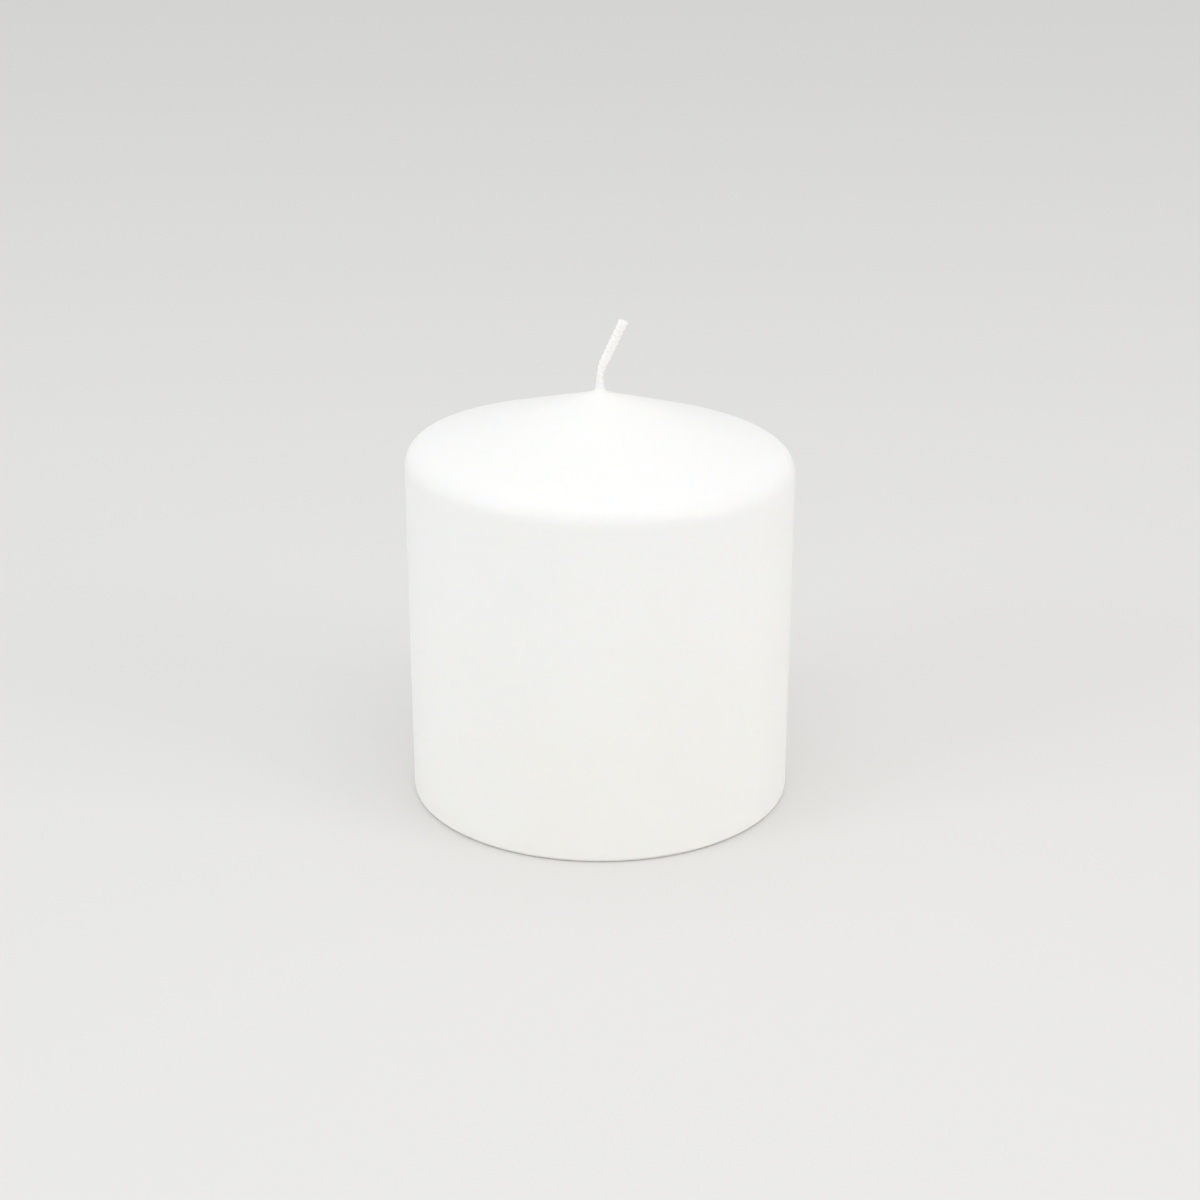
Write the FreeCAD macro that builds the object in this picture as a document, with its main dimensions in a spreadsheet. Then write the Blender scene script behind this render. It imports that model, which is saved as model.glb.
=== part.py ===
"""Short pillar candle, built as a parametric FreeCAD document.

The candle is a pressed wax core inside a thin over-dipped skin of smoother, harder wax. A flat
braided cotton wick runs up the axis from a crimped tinplate sustainer, which is sealed into a
recess under the foot, and leans over above the crown.

Frame: millimetres, +Z up, origin at the centre of the base. The wick leans towards +X.
"""

import FreeCAD, Part
import Sketcher

import math
import os

# Driving dimensions. Lengths are in millimetres and angles in degrees.
SIZES = {
    # Wax body
    "body_diameter": 70.0,
    "body_height": 76.0,  # base to the point where the crown's cone would close
    "crown_angle": 17.5,  # fall of the crown from the axis to the shoulder
    "shoulder_radius": 4.0,
    "foot_chamfer": 0.6,
    "skin_thickness": 1.2,
    # Wax that climbs the wick
    "collar_wall": 0.25,
    "collar_height": 1.8,  # above body_height
    "collar_radius": 1.3,
    # Braided wick, flat side facing X
    "wick_width": 1.3,
    "wick_depth": 1.8,
    "wick_clearance": 0.03,
    "wick_bore_clearance": 0.4,
    "wick_stub": 0.5,  # cut end below the sustainer
    "wick_bend_radius": 8.0,
    "wick_lean": 25.0,
    "wick_reach": 12.6,  # height of the tip above body_height
    # Crimped tinplate sustainer
    "tab_diameter": 20.0,
    "tab_thickness": 0.3,
    "tab_clearance": 0.15,
    "tab_recess_depth": 1.4,
    "bead_width": 1.8,
    "bead_flank": 0.5,
    "bead_depth": 0.4,
    "bead_clearance": 0.1,  # from the bead to the wax seal round it
    "neck_height": 5.0,
    "neck_wall": 0.3,
    "neck_foot_radius": 0.5,
    "neck_clearance": 0.2,
    # Wax seal round the sustainer's rim
    "seal_width": 2.5,
    "seal_slope": 0.7,
    "seal_setback": 0.25,
}

# Shared expressions, so that mating pieces take the same sizes from the sheet.
BODY_RADIUS = "Sizes.body_diameter / 2"
CORE_RADIUS = "Sizes.body_diameter / 2 - Sizes.skin_thickness"
CROWN_SLOPE = "tan(Sizes.crown_angle * 1 deg)"
CORE_HEIGHT = "Sizes.body_height - Sizes.skin_thickness / cos(Sizes.crown_angle * 1 deg)"
BODY_SIDE = f"Sizes.body_height - ({BODY_RADIUS}) * {CROWN_SLOPE}"
CORE_SIDE = f"{CORE_HEIGHT} - ({CORE_RADIUS}) * {CROWN_SLOPE}"
CORE_SHOULDER_RADIUS = "Sizes.shoulder_radius - Sizes.skin_thickness"
COLLAR_TOP = "Sizes.body_height + Sizes.collar_height"
TAB_RADIUS = "Sizes.tab_diameter / 2"
RECESS_RADIUS = f"{TAB_RADIUS} + Sizes.tab_clearance"
TAB_UNDERSIDE = "Sizes.tab_recess_depth - Sizes.tab_thickness"
SEAL_INNER_RADIUS = f"{TAB_RADIUS} - Sizes.seal_width"
NECK_MARGIN = "Sizes.wick_clearance + Sizes.neck_wall"

# Slack for finding edges by their place, in millimetres.
NEAR = 1e-3

# Outline of the core, which is also the inside of the skin: corners across, up and rounding.
CORE_OUTLINE = [
    ("0", "0"),
    (CORE_RADIUS, "0"),
    (CORE_RADIUS, CORE_SIDE, CORE_SHOULDER_RADIUS),
    ("0", CORE_HEIGHT),
]

doc = FreeCAD.newDocument("PillarCandle")


def make_sheet():
    """Write the driving dimensions into a spreadsheet, one aliased cell each."""
    sheet = doc.addObject("Spreadsheet::Sheet", "Sizes")
    for row, (name, value) in enumerate(SIZES.items(), start=1):
        sheet.set(f"A{row}", name)
        sheet.set(f"B{row}", str(value))
        sheet.setAlias(f"B{row}", name)
    doc.recompute()
    return sheet


sizes = make_sheet()


def value(expression):
    """Return the number that an expression has now."""
    result = sizes.evalExpression(expression)
    return float(getattr(result, "Value", result))


def make_body(node, height="0"):
    """Add a body whose label is the node's name, standing at the given height."""
    body = doc.addObject("PartDesign::Body", node)
    body.Label = node
    body.Placement = FreeCAD.Placement()
    body.setExpression("Placement.Base.z", height)
    return body


def make_sketch(body, name, plane, height="0"):
    """Attach a new sketch to one of the body's own planes, raised by the given height."""
    sketch = body.newObject("Sketcher::SketchObject", name)
    support = next(item for item in body.Origin.OriginFeatures if item.Role == plane)
    sketch.AttachmentSupport = (support, [""])
    sketch.MapMode = "FlatFace"
    sketch.setExpression("AttachmentOffset.Base.z", height)
    return sketch


def constrain(sketch, kind, *references, size=None):
    """Add a constraint, bound to an expression where it has a size."""
    if size is None:
        sketch.addConstraint(Sketcher.Constraint(kind, *references))
        return
    index = sketch.addConstraint(Sketcher.Constraint(kind, *references, value(size)))
    sketch.setExpression(f"Constraints[{index}]", size)


def place_corner(sketch, line, corner, previous):
    """Locate a line's start point: square to the corner before it, or measured from the origin."""
    across, up = corner[:2]
    if previous and across == previous[0]:
        constrain(sketch, "Vertical", line - 1)
    elif across == "0":
        constrain(sketch, "PointOnObject", line, 1, -2)
    else:
        constrain(sketch, "DistanceX", -1, 1, line, 1, size=across)
    if previous and up == previous[1]:
        constrain(sketch, "Horizontal", line - 1)
    elif up == "0":
        constrain(sketch, "PointOnObject", line, 1, -1)
    else:
        constrain(sketch, "DistanceY", -1, 1, line, 1, size=up)


def round_corner(sketch, line, radius):
    """Round the corner where a line starts, keeping the sharp corner's own place."""
    arc = sketch.GeometryCount
    sketch.fillet(line, 1, value(radius), True, True)
    constrain(sketch, "Radius", arc, size=radius)


def draw_outline(sketch, corners):
    """Draw a closed outline through corners: expressions across, up and, if round, a radius."""
    points = [FreeCAD.Vector(value(corner[0]), value(corner[1]), 0) for corner in corners]
    for start, end in zip(points, points[1:] + points[:1]):
        sketch.addGeometry(Part.LineSegment(start, end))
    count = len(corners)
    for line in range(count):
        constrain(sketch, "Coincident", line, 2, (line + 1) % count, 1)
    for line, corner in enumerate(corners):
        place_corner(sketch, line, corner, corners[line - 1] if line else None)
    for line, corner in enumerate(corners):
        if len(corner) == 3:
            round_corner(sketch, line, corner[2])


def draw_wick_section(sketch, margin="0"):
    """Draw the braid's section, a slot longer in depth than in width, grown by a margin."""
    radius = f"Sizes.wick_width / 2 + {margin}"
    reach = "(Sizes.wick_depth - Sizes.wick_width) / 2"
    side, end = value(radius), value(reach)
    centre_back, centre_front = FreeCAD.Vector(0, end, 0), FreeCAD.Vector(0, -end, 0)
    up = FreeCAD.Vector(0, 0, 1)
    back = sketch.addGeometry(Part.ArcOfCircle(Part.Circle(centre_back, up, side), 0, math.pi))
    front = sketch.addGeometry(
        Part.ArcOfCircle(Part.Circle(centre_front, up, side), math.pi, 2 * math.pi)
    )
    left = sketch.addGeometry(
        Part.LineSegment(FreeCAD.Vector(-side, end, 0), FreeCAD.Vector(-side, -end, 0))
    )
    right = sketch.addGeometry(
        Part.LineSegment(FreeCAD.Vector(side, -end, 0), FreeCAD.Vector(side, end, 0))
    )
    constrain(sketch, "Tangent", back, 2, left, 1)
    constrain(sketch, "Tangent", left, 2, front, 1)
    constrain(sketch, "Tangent", front, 2, right, 1)
    constrain(sketch, "Tangent", right, 2, back, 1)
    constrain(sketch, "PointOnObject", back, 3, -2)
    constrain(sketch, "Symmetric", back, 3, front, 3, -1, 1)
    constrain(sketch, "DistanceY", -1, 1, back, 3, size=reach)
    constrain(sketch, "Radius", back, size=radius)


def draw_circle(sketch, diameter):
    """Draw a circle about the sketch's origin."""
    centre, up = FreeCAD.Vector(0, 0, 0), FreeCAD.Vector(0, 0, 1)
    circle = sketch.addGeometry(Part.Circle(centre, up, value(diameter) / 2))
    constrain(sketch, "Coincident", circle, 3, -1, 1)
    constrain(sketch, "Diameter", circle, size=diameter)


def turn(body, feature, name, corners):
    """Turn an outline once round the axis: Revolution adds it and Groove removes it."""
    sketch = make_sketch(body, f"{name}_outline", "XZ_Plane")
    draw_outline(sketch, corners)
    result = body.newObject(f"PartDesign::{feature}", name)
    result.Profile = sketch
    result.ReferenceAxis = (sketch, ["V_Axis"])
    result.Angle = 360
    doc.recompute()
    return result


def extrude(body, feature, name, draw, length=None, height="0"):
    """Carry a section up: Pad adds it, and Pocket removes it, through all if no length is given."""
    sketch = make_sketch(body, f"{name}_section", "XY_Plane", height)
    draw(sketch)
    result = body.newObject(f"PartDesign::{feature}", name)
    result.Profile = sketch
    result.Type = "Length" if length else "ThroughAll"
    if length:
        result.setExpression("Length", length)
    result.Reversed = feature == "Pocket"
    doc.recompute()
    return result


def edges_where(feature, test):
    """Name the edges of a feature whose every vertex passes a test of radius and height."""
    names = []
    for index, edge in enumerate(feature.Shape.Edges, start=1):
        points = [vertex.Point for vertex in edge.Vertexes]
        if all(test(math.hypot(point.x, point.y), point.z) for point in points):
            names.append(f"Edge{index}")
    return names


def fillet(body, name, base, edges, radius):
    """Round the named edges of the base feature."""
    if not edges:
        raise RuntimeError(f"{name} found no edge")
    result = body.newObject("PartDesign::Fillet", name)
    result.Base = (base, edges)
    result.setExpression("Radius", radius)
    doc.recompute()
    return result


def make_wax_core():
    """Pressed wax core: coned bar, bored for the wick and recessed for its sustainer."""
    body = make_body("wax_core")
    turn(body, "Revolution", "core_bar", CORE_OUTLINE)
    bore = "Sizes.wick_depth + 2 * Sizes.wick_bore_clearance"
    neck = f"Sizes.wick_depth + 2 * ({NECK_MARGIN} + Sizes.neck_foot_radius + Sizes.neck_clearance)"
    neck_depth = "Sizes.tab_recess_depth + Sizes.neck_height + Sizes.neck_clearance"
    recess = f"2 * ({RECESS_RADIUS})"
    extrude(body, "Pocket", "wick_bore", lambda at: draw_circle(at, bore))
    extrude(body, "Pocket", "neck_pocket", lambda at: draw_circle(at, neck), neck_depth)
    extrude(
        body, "Pocket", "tab_recess", lambda at: draw_circle(at, recess), "Sizes.tab_recess_depth"
    )
    return body


def make_overdip_skin():
    """Over-dipped skin: an open-footed shell of even thickness that climbs the wick a little."""
    body = make_body("overdip_skin")
    outside = [
        ("0", "0"),
        (f"{BODY_RADIUS} - Sizes.foot_chamfer", "0"),
        (BODY_RADIUS, "Sizes.foot_chamfer"),
        (BODY_RADIUS, BODY_SIDE, "Sizes.shoulder_radius"),
        ("0", "Sizes.body_height"),
    ]
    turn(body, "Revolution", "skin_outside", outside)
    margin = "Sizes.wick_clearance + Sizes.collar_wall"
    length = f"{COLLAR_TOP} - ({CORE_SIDE})"
    collar = extrude(
        body, "Pad", "collar", lambda at: draw_wick_section(at, margin), length, CORE_SIDE
    )
    widest = value(f"Sizes.wick_depth / 2 + {margin}") + NEAR
    crown_foot = value("Sizes.body_height") - widest * value(CROWN_SLOPE) - NEAR
    top = value(COLLAR_TOP) - NEAR
    foot = edges_where(collar, lambda r, z: r < widest and crown_foot < z < top)
    fillet(body, "collar_flare", collar, foot, "Sizes.collar_radius")
    turn(body, "Groove", "skin_inside", CORE_OUTLINE)
    extrude(body, "Pocket", "wick_hole", lambda at: draw_wick_section(at, "Sizes.wick_clearance"))
    return body


def make_wick():
    """Braided wick: straight up the bore, one bend above the collar, then a straight lean."""
    foot = f"{TAB_UNDERSIDE} - Sizes.wick_stub"
    body = make_body("wick", foot)
    section = make_sketch(body, "wick_section", "XY_Plane")
    draw_wick_section(section)
    route = make_sketch(body, "wick_route", "XZ_Plane")
    rise = f"{COLLAR_TOP} - ({foot})"
    reach = "Sizes.wick_reach - Sizes.collar_height"
    bend, lean = value("Sizes.wick_bend_radius"), math.radians(value("Sizes.wick_lean"))
    bend_start = FreeCAD.Vector(0, value(rise), 0)
    centre = bend_start + FreeCAD.Vector(bend, 0, 0)
    bend_end = centre + FreeCAD.Vector(-bend * math.cos(lean), bend * math.sin(lean), 0)
    tip_rise = value(reach) - bend * math.sin(lean)
    tip = bend_end + FreeCAD.Vector(tip_rise * math.tan(lean), tip_rise, 0)
    circle = Part.Circle(centre, FreeCAD.Vector(0, 0, 1), bend)
    straight = route.addGeometry(Part.LineSegment(FreeCAD.Vector(0, 0, 0), bend_start))
    arc = route.addGeometry(Part.ArcOfCircle(circle, math.pi - lean, math.pi))
    free_end = route.addGeometry(Part.LineSegment(bend_end, tip))
    constrain(route, "Coincident", straight, 1, -1, 1)
    constrain(route, "PointOnObject", straight, 2, -2)
    constrain(route, "DistanceY", -1, 1, straight, 2, size=rise)
    constrain(route, "Tangent", straight, 2, arc, 2)
    constrain(route, "Tangent", arc, 1, free_end, 1)
    constrain(route, "Radius", arc, size="Sizes.wick_bend_radius")
    constrain(route, "DistanceY", straight, 2, free_end, 2, size=reach)
    constrain(route, "Angle", straight, 2, free_end, 1, size="180 - Sizes.wick_lean")
    braid = body.newObject("PartDesign::AdditivePipe", "braid")
    braid.Profile = section
    braid.Spine = (route, [])
    doc.recompute()
    return body


def make_wick_sustainer():
    """Sustainer: tinplate disc with one pressed bead and a neck crimped on the wick."""
    body = make_body("wick_sustainer", TAB_UNDERSIDE)
    top = "Sizes.tab_thickness"
    bead_outer = f"{SEAL_INNER_RADIUS} - Sizes.bead_clearance"
    bead_inner = f"{bead_outer} - Sizes.bead_width"
    flank = "Sizes.bead_flank"
    below = "-Sizes.bead_depth"
    dent = f"{top} - Sizes.bead_depth"
    disc = [
        ("0", "0"),
        (bead_inner, "0"),
        (f"{bead_inner} + {flank}", below),
        (f"{bead_outer} - {flank}", below),
        (bead_outer, "0"),
        (TAB_RADIUS, "0"),
        (TAB_RADIUS, top),
        (bead_outer, top),
        (f"{bead_outer} - {flank}", dent),
        (f"{bead_inner} + {flank}", dent),
        (bead_inner, top),
        ("0", top),
    ]
    turn(body, "Revolution", "disc", disc)
    neck_length = f"{top} + Sizes.neck_height"
    neck = extrude(
        body, "Pad", "neck", lambda at: draw_wick_section(at, NECK_MARGIN), neck_length
    )
    plate, widest = value(top), value(f"Sizes.wick_depth / 2 + {NECK_MARGIN}") + NEAR
    foot = edges_where(neck, lambda r, z: r < widest and abs(z - plate) < NEAR)
    fillet(body, "neck_foot", neck, foot, "Sizes.neck_foot_radius")
    extrude(body, "Pocket", "wick_way", lambda at: draw_wick_section(at, "Sizes.wick_clearance"))
    return body


def make_tab_seal():
    """Wax seal: a ring that fills the recess round the sustainer's rim and laps under it."""
    body = make_body("tab_seal", "Sizes.seal_setback")
    under_tab = f"{TAB_UNDERSIDE} - Sizes.seal_setback"
    ceiling = "Sizes.tab_recess_depth - Sizes.seal_setback"
    ring = [
        (f"{SEAL_INNER_RADIUS} + Sizes.seal_slope", "0"),
        (RECESS_RADIUS, "0"),
        (RECESS_RADIUS, ceiling),
        (TAB_RADIUS, ceiling),
        (TAB_RADIUS, under_tab),
        (SEAL_INNER_RADIUS, under_tab),
    ]
    turn(body, "Revolution", "seal_ring", ring)
    return body


def check_document(bodies):
    """Raise if any object failed to build or any piece isn't one valid closed solid."""
    doc.recompute()
    for item in doc.Objects:
        if {"Invalid", "Error"} & set(item.State):
            raise RuntimeError(f"{item.Label} failed: {item.State}")
    for body in bodies:
        shape = body.Shape
        if shape.isNull() or not shape.isValid() or len(shape.Solids) != 1:
            raise RuntimeError(f"{body.Label} isn't one valid solid")


def report(body):
    """Print a piece's volume and extents."""
    box = body.Shape.BoundBox
    spans = f"x {box.XMin:.2f}..{box.XMax:.2f}, y {box.YMin:.2f}..{box.YMax:.2f}"
    print(f"{body.Label}: {body.Shape.Volume:.2f} mm3, {spans}, z {box.ZMin:.2f}..{box.ZMax:.2f}")


pieces = [
    make_wax_core(),
    make_overdip_skin(),
    make_wick(),
    make_wick_sustainer(),
    make_tab_seal(),
]
check_document(pieces)

os.makedirs("parts", exist_ok=True)
for piece in pieces:
    piece.Shape.exportStep(f"parts/{piece.Label}.step")
    report(piece)
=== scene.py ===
"""Looks of a short white pillar candle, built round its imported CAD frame.

The wax pieces are outlines turned round the candle's axis, the wick is a flat plait of cotton
yarns laid along its route, and the tinplate sustainer is the CAD piece with a finish. Every
length is in metres, in the frame's own axes: +Z up from the base, the wick leaning towards +X.
"""

import logging
import math
from dataclasses import dataclass, field
from enum import Enum
from typing import Any, Optional, Union

import bpy
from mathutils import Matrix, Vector


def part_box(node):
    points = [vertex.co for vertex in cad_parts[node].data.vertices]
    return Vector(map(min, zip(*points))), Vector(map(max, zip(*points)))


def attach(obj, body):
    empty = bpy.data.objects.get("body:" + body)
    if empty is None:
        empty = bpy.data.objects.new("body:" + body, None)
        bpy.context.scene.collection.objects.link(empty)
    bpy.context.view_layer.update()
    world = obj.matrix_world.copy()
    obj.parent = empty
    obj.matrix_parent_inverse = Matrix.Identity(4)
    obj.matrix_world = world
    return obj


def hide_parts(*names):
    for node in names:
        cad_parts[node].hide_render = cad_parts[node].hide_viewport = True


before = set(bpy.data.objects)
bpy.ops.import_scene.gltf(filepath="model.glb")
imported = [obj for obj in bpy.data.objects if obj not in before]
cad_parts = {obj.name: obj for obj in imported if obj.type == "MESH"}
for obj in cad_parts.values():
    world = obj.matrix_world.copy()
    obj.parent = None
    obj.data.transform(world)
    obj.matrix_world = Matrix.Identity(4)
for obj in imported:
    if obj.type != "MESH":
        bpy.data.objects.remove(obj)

MM = 0.001
BODY = "root"
LOG = logging.getLogger("pillar_candle")

Colour = tuple[float, float, float]
Value = Union["Port", float, int]

WHITE = (1.0, 1.0, 1.0)


# ---- node trees ----


class Port:
    """An output of a node, which Python's operators join to others through Math nodes."""

    def __init__(self, graph: "Graph", socket: bpy.types.NodeSocket) -> None:
        """Wrap one output of one of a tree's nodes."""
        self.graph = graph
        self.socket = socket

    def also(self, name: str) -> "Port":
        """Return another output of the same node, by name."""
        return Port(self.graph, find_socket(self.socket.node.outputs, name))

    def __add__(self, other: Value) -> "Port":
        """Return self + other."""
        return self.graph.math("ADD", self, other)

    def __radd__(self, other: Value) -> "Port":
        """Return other + self."""
        return self.graph.math("ADD", other, self)

    def __sub__(self, other: Value) -> "Port":
        """Return self - other."""
        return self.graph.math("SUBTRACT", self, other)

    def __rsub__(self, other: Value) -> "Port":
        """Return other - self."""
        return self.graph.math("SUBTRACT", other, self)

    def __mul__(self, other: Value) -> "Port":
        """Return self * other."""
        return self.graph.math("MULTIPLY", self, other)

    def __rmul__(self, other: Value) -> "Port":
        """Return other * self."""
        return self.graph.math("MULTIPLY", other, self)

    def __truediv__(self, other: Value) -> "Port":
        """Return self / other."""
        return self.graph.math("DIVIDE", self, other)

    def __rtruediv__(self, other: Value) -> "Port":
        """Return other / self."""
        return self.graph.math("DIVIDE", other, self)


def find_socket(sockets: Any, name: str) -> bpy.types.NodeSocket:
    """Find a socket by its identifier, or else by its name.

    Args:
        sockets: a node's inputs or outputs.
        name: an identifier or a name.

    Returns:
        The first socket that answers to it.
    """
    for socket in sockets:
        if socket.identifier == name:
            return socket
    return next(socket for socket in sockets if socket.name == name)


class Graph:
    """A node tree that is being written, for a material or for a modifier."""

    def __init__(self, tree: bpy.types.NodeTree) -> None:
        """Wrap a node tree."""
        self.tree = tree

    def node(
        self,
        kind: str,
        settings: Optional[dict[str, Any]] = None,
        sockets: Optional[dict[str, Any]] = None,
        out: Optional[str] = None,
    ) -> Port:
        """Add a node, set it up and connect it.

        Args:
            kind: the node's type.
            settings: properties to set first, such as a Math node's operation.
            sockets: a value or a Port for each input, by identifier or name.
            out: the output to return, by identifier or name; the first one if left out.

        Returns:
            The node's chosen output.
        """
        made = self.tree.nodes.new(kind)
        for name, setting in (settings or {}).items():
            setattr(made, name, setting)
        for name, value in (sockets or {}).items():
            target = find_socket(made.inputs, name)
            if isinstance(value, Port):
                self.tree.links.new(value.socket, target)
            else:
                target.default_value = value
        outputs = made.outputs
        return Port(self, find_socket(outputs, out) if out else outputs[0])

    def math(self, operation: str, first: Value, second: Value = 0.0) -> Port:
        """Return the result of a Math node's operation on one or two numbers."""
        sockets = {"Value": first, "Value_001": second}
        return self.node("ShaderNodeMath", {"operation": operation}, sockets)

    def vector(self, operation: str, first: Any, second: Any) -> Port:
        """Return the result of a Vector Math node's operation on two vectors."""
        sockets = {"Vector": first, "Vector_001": second}
        return self.node("ShaderNodeVectorMath", {"operation": operation}, sockets)

    def scaled(self, vector: Port, amount: Value) -> Port:
        """Return a vector times a number."""
        sockets = {"Vector": vector, "Scale": amount}
        return self.node("ShaderNodeVectorMath", {"operation": "SCALE"}, sockets)

    def combine(self, x: Value, y: Value, z: Value) -> Port:
        """Return a vector made of three numbers."""
        return self.node("ShaderNodeCombineXYZ", sockets={"X": x, "Y": y, "Z": z})

    def stretched(self, place: Port, scale: tuple[float, float, float]) -> Port:
        """Return places that draw a pattern out along the axes whose scale is small."""
        return self.node("ShaderNodeMapping", sockets={"Vector": place, "Scale": scale})

    def ease(self, value: Value, low: Value, high: Value) -> Port:
        """Return 0 below low and 1 above high, with a smooth step between them."""
        sockets = {"Value": value, "From Min": low, "From Max": high}
        return self.node("ShaderNodeMapRange", {"interpolation_type": "SMOOTHSTEP"}, sockets)

    def noise(self, vector: Port, size: Value, detail: float = 2.0, seed: Value = 0.0) -> Port:
        """Return a cloudy pattern from 0 to 1.

        Args:
            vector: where to read it.
            size: how large its clouds are, in metres.
            detail: how many finer layers it has.
            seed: which of its many patterns to read.

        Returns:
            The pattern's value.
        """
        scale = 1.0 / size
        sockets = {"Vector": vector, "W": seed, "Scale": scale, "Detail": detail}
        return self.node("ShaderNodeTexNoise", {"noise_dimensions": "4D"}, sockets)

    def blend(self, amount: Value, first: Any, second: Any) -> Port:
        """Return a colour between two colours."""
        sockets = {"Factor_Float": amount, "A_Color": first, "B_Color": second}
        return self.node("ShaderNodeMix", {"data_type": "RGBA"}, sockets, "Result_Color")

    def bump(self, height: Port, depth: float, under: Optional[Port] = None) -> Port:
        """Return normals roughened by a height from 0 to 1.

        Args:
            height: the height's pattern.
            depth: the real depth of the pattern, in metres.
            under: normals that are already roughened.

        Returns:
            The new normals.
        """
        sockets = {"Strength": 1.0, "Distance": depth, "Height": height}
        if under is not None:
            sockets["Normal"] = under
        return self.node("ShaderNodeBump", sockets=sockets)


class Recipe(Graph):
    """A geometry node tree with named inputs, which turns a piece's seed shape into its mesh."""

    def __init__(self, name: str) -> None:
        """Start a tree that takes and gives geometry.

        Args:
            name: the tree's name.
        """
        super().__init__(bpy.data.node_groups.new(name, "GeometryNodeTree"))
        for direction in ("INPUT", "OUTPUT"):
            self.tree.interface.new_socket(
                "Geometry", in_out=direction, socket_type="NodeSocketGeometry"
            )
        self.entry = self.tree.nodes.new("NodeGroupInput")
        self.start = Port(self, self.entry.outputs[0])

    def ask(self, name: str, kind: str = "Float") -> Port:
        """Add a named input.

        Args:
            name: the input's name.
            kind: Float, Int or Material.

        Returns:
            The input, ready to connect.
        """
        item = self.tree.interface.new_socket(
            name, in_out="INPUT", socket_type=f"NodeSocket{kind}"
        )
        return Port(self, find_socket(self.entry.outputs, item.identifier))

    def circle(self, sides: Union[Port, int], radius: Value = 1.0) -> Port:
        """Return a circle, as a curve."""
        sockets = {"Resolution": sides, "Radius": radius}
        return self.node("GeometryNodeCurvePrimitiveCircle", sockets=sockets)

    def sweep(self, line: Port, section: Port, caps: bool = True) -> Port:
        """Return the mesh that a section makes along a line."""
        sockets = {"Curve": line, "Profile Curve": section, "Fill Caps": caps}
        return self.node("GeometryNodeCurveToMesh", sockets=sockets)

    def close(self, geometry: Port) -> None:
        """End the tree: smooth faces, realised instances and the finish that is asked for.

        Args:
            geometry: what the tree has made.
        """
        smooth = self.node("GeometryNodeSetShadeSmooth", sockets={"Geometry": geometry})
        real = self.node("GeometryNodeRealizeInstances", sockets={"Geometry": smooth})
        sockets = {"Geometry": real, "Material": self.ask("Finish", "Material")}
        dressed = self.node("GeometryNodeSetMaterial", sockets=sockets)
        leave = self.tree.nodes.new("NodeGroupOutput")
        self.tree.links.new(dressed.socket, leave.inputs[0])

    def make(self, name: str, seed_shape: bpy.types.Mesh, **values: Any) -> bpy.types.Object:
        """Run the tree on a seed shape and keep the result as a plain mesh.

        Args:
            name: the new piece's name.
            seed_shape: what the tree starts from.
            **values: the named inputs, with underscores for their spaces.

        Returns:
            The new piece, which rides on the candle's one body.
        """
        piece = bpy.data.objects.new(name, seed_shape)
        bpy.context.scene.collection.objects.link(piece)
        modifier = piece.modifiers.new("recipe", "NODES")
        modifier.node_group = self.tree
        for item in self.tree.interface.items_tree:
            key = item.name.replace(" ", "_").lower()
            if item.in_out == "INPUT" and key in values:
                modifier[item.identifier] = values[key]
        evaluated = piece.evaluated_get(bpy.context.evaluated_depsgraph_get())
        mesh = bpy.data.meshes.new_from_object(evaluated)
        piece.modifiers.clear()
        piece.data = mesh
        mesh.name = name
        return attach(piece, BODY)


# ---- finishes ----


class Grain(Enum):
    """How a wax surface was made, which sets its texture."""

    DIPPED = "dipped"
    PRESSED = "pressed"
    POURED = "poured"


@dataclass(frozen=True)
class Relief:
    """One layer of a wax surface's relief: the width and depth of its bumps."""

    size: float
    depth: float
    detail: float = 2.0
    upright: float = 1.0
    seed: float = 0.0

    def over(self, graph: Graph, place: Port, under: Optional[Port]) -> Port:
        """Return the normals under this layer with its bumps added."""
        spot = graph.stretched(place, (1.0, 1.0, self.upright))
        return graph.bump(graph.noise(spot, self.size, self.detail, self.seed), self.depth, under)


RELIEF = {
    Grain.DIPPED: (
        Relief(5 * MM, 0.07 * MM, upright=0.16, seed=1.0),
        Relief(1.4 * MM, 0.01 * MM, seed=2.0),
        Relief(0.25 * MM, 0.002 * MM),
    ),
    Grain.PRESSED: (Relief(0.5 * MM, 0.04 * MM, detail=3.0),),
    Grain.POURED: (Relief(3 * MM, 0.22 * MM), Relief(0.6 * MM, 0.02 * MM, detail=3.0)),
}


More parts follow.
